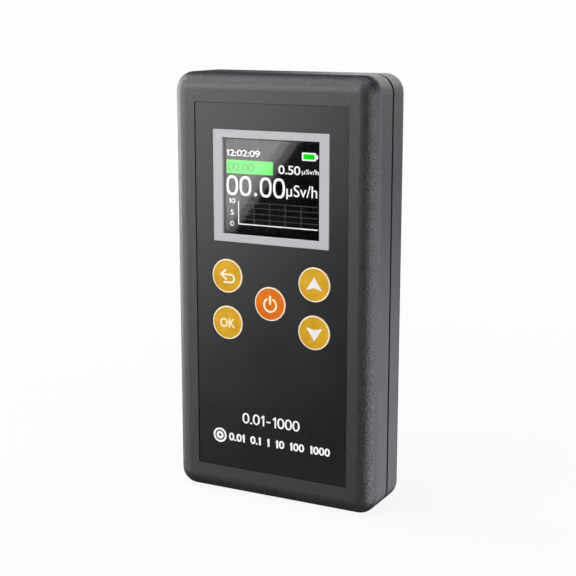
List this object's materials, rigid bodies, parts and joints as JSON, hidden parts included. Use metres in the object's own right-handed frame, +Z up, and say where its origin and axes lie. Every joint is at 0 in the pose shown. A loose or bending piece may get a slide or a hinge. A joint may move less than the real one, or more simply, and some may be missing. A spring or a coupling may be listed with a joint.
{
  "type": "geiger counter",
  "caption": "Handheld geiger counter: upright two-part case with sealing ring, square display, round push keys, geiger tube and battery bay with a screwed door.",
  "frame": {"origin": "centre of the bottom end on which the instrument stands, at mid-depth", "axes": "+Z up along the case's length, the display and keys face -Y, +X to the user's right as they read the display"},
  "size_m": [0.0636, 0.023, 0.1232],
  "materials": {
    "shell_plastic": "fine spark-eroded grain",
    "seal_rubber": "matt moulded rubber",
    "brass_insert": "turned brass",
    "black_screw": "black oxide",
    "faceplate_film": "satin printed film",
    "bezel_silver": "fine satin",
    "clear_window": "polished clear acrylic",
    "lcd_panel": "polished black panel",
    "white_plastic": "moulded white",
    "foam": "closed-cell foam",
    "flex_film": "polyimide film",
    "key_amber": "satin amber",
    "key_orange": "satin orange",
    "black_plastic": "moulded black",
    "board_green": "solder mask",
    "plated_steel": "bright plated",
    "chip_black": "moulded epoxy",
    "ceramic_chip": "fired ceramic",
    "ferrite": "sintered ferrite",
    "winding_tape": "yellow tape",
    "capacitor_film": "dipped epoxy",
    "tube_glass": "clear glass",
    "cell_jacket": "printed sleeve",
    "label_film": "matt silver film"
  },
  "bodies": {
    "case": {"front_shell": "shell_plastic", "rear_shell": "shell_plastic", "case_seal": "seal_rubber", "case_inserts": "brass_insert", "battery_door_inserts": "brass_insert", "case_screws": "black_screw", "faceplate": "faceplate_film", "display_bezel": "bezel_silver", "display_window": "clear_window", "lcd_glass": "lcd_panel", "lcd_backlight": "white_plastic", "display_foam_pad": "foam", "tube_foam_pad": "foam", "lcd_flex": "flex_film", "display_connector": "white_plastic", "key_switches": "black_plastic", "main_board": "board_green", "board_screws": "plated_steel", "mcu_chip": "chip_black", "board_chips": "chip_black", "quartz_crystal": "plated_steel", "board_passives": "ceramic_chip", "hv_transformer_core": "ferrite", "hv_transformer_winding": "winding_tape", "hv_capacitors": "capacitor_film", "buzzer": "black_plastic", "gm_tube_glass": "tube_glass", "gm_tube_cathode": "plated_steel", "gm_tube_end_caps": "plated_steel", "gm_tube_anode_wire": "plated_steel", "gm_tube_clips": "brass_insert", "battery_cells": "cell_jacket", "battery_contacts_upper": "plated_steel", "battery_contacts_lower": "plated_steel", "rear_label": "label_film"},
    "back_key_body": {"back_key": "key_amber", "back_key_plunger": "black_plastic"},
    "ok_key_body": {"ok_key": "key_amber", "ok_key_plunger": "black_plastic"},
    "power_key_body": {"power_key": "key_orange", "power_key_plunger": "black_plastic"},
    "up_key_body": {"up_key": "key_amber", "up_key_plunger": "black_plastic"},
    "down_key_body": {"down_key": "key_amber", "down_key_plunger": "black_plastic"},
    "battery_door_body": {"battery_door": "shell_plastic", "battery_door_screws": "black_screw"}
  },
  "joints": [
    {"name": "back_key_press", "type": "slide", "parent": "case", "child": "back_key_body", "axis": [0, 1, 0], "range_m": [0, 0.0004], "stiffness_N_per_m": 3000, "springref_m": -0.0003},
    {"name": "ok_key_press", "type": "slide", "parent": "case", "child": "ok_key_body", "axis": [0, 1, 0], "range_m": [0, 0.0004], "stiffness_N_per_m": 3000, "springref_m": -0.0003},
    {"name": "power_key_press", "type": "slide", "parent": "case", "child": "power_key_body", "axis": [0, 1, 0], "range_m": [0, 0.0004], "stiffness_N_per_m": 3000, "springref_m": -0.0003},
    {"name": "up_key_press", "type": "slide", "parent": "case", "child": "up_key_body", "axis": [0, 1, 0], "range_m": [0, 0.0004], "stiffness_N_per_m": 3000, "springref_m": -0.0003},
    {"name": "down_key_press", "type": "slide", "parent": "case", "child": "down_key_body", "axis": [0, 1, 0], "range_m": [0, 0.0004], "stiffness_N_per_m": 3000, "springref_m": -0.0003},
    {"name": "battery_door_lift", "type": "slide", "parent": "case", "child": "battery_door_body", "axis": [0, 1, 0], "range_m": [0, 0.03]}
  ]
}
